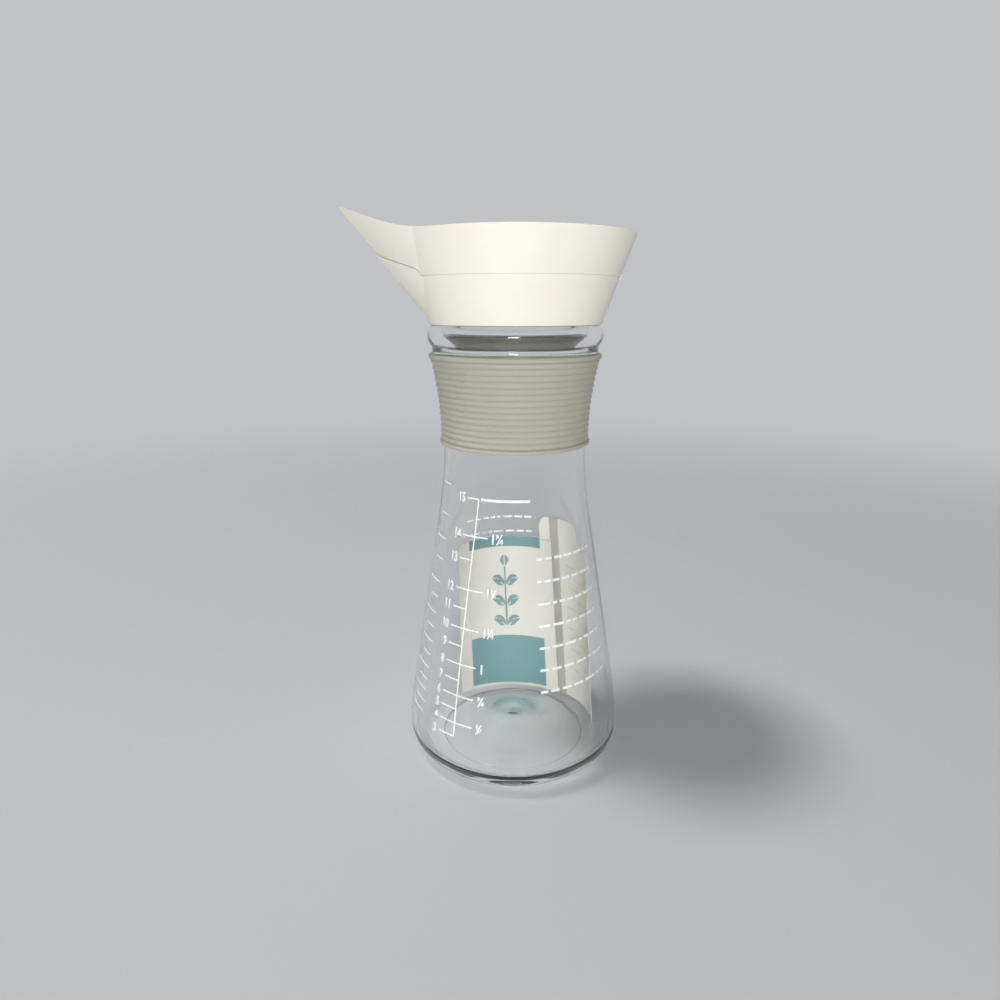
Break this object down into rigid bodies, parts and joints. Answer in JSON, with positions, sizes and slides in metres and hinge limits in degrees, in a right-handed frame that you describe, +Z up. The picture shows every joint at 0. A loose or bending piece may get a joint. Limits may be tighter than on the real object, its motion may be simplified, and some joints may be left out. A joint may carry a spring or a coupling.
{
  "type": "salad dressing mixer",
  "caption": "Clear waisted shaker bottle with a ribbed grip sleeve and a white screw-on pouring lid whose top flips open by its long beak.",
  "frame": {"origin": "on the table at the middle of the bottle's foot ring", "axes": "+Z up along the bottle's axis, -X towards the spout, +X towards the film hinge of the lid"},
  "size_m": [0.1113, 0.0914, 0.2231],
  "materials": {
    "clear_plastic": "clear glossy moulded plastic",
    "grey_silicone": "matt warm grey silicone",
    "white_plastic": "satin warm white moulded plastic",
    "seal_silicone": "translucent white silicone",
    "paper": "coated white paper with printed bands"
  },
  "bodies": {
    "bottle": {"bottle": "clear_plastic", "grip_sleeve": "grey_silicone", "recipe_leaflet": "paper"},
    "gasket": {"neck_gasket": "seal_silicone"},
    "collar": {"spout_collar": "white_plastic"},
    "lid": {"flip_lid": "white_plastic", "plug_seal": "seal_silicone"}
  },
  "joints": [
    {"name": "thread_rise", "type": "slide", "parent": "bottle", "child": "gasket", "axis": [0, 0, 1], "range_m": [0, 0.00501]},
    {"name": "collar_turn", "type": "hinge", "parent": "gasket", "child": "collar", "pos_m": [0, 0, 0.1809], "axis": [0, 0, 1], "range_deg": [0, 450]},
    {"name": "lid_flip", "type": "hinge", "parent": "collar", "child": "lid", "pos_m": [0.03974, 0, 0.1982], "axis": [0, 1, 0], "range_deg": [0, 115]}
  ],
  "couplings": [
    {"joint": "thread_rise", "follows": "collar_turn", "m_per_rad": 0.00063662}
  ]
}
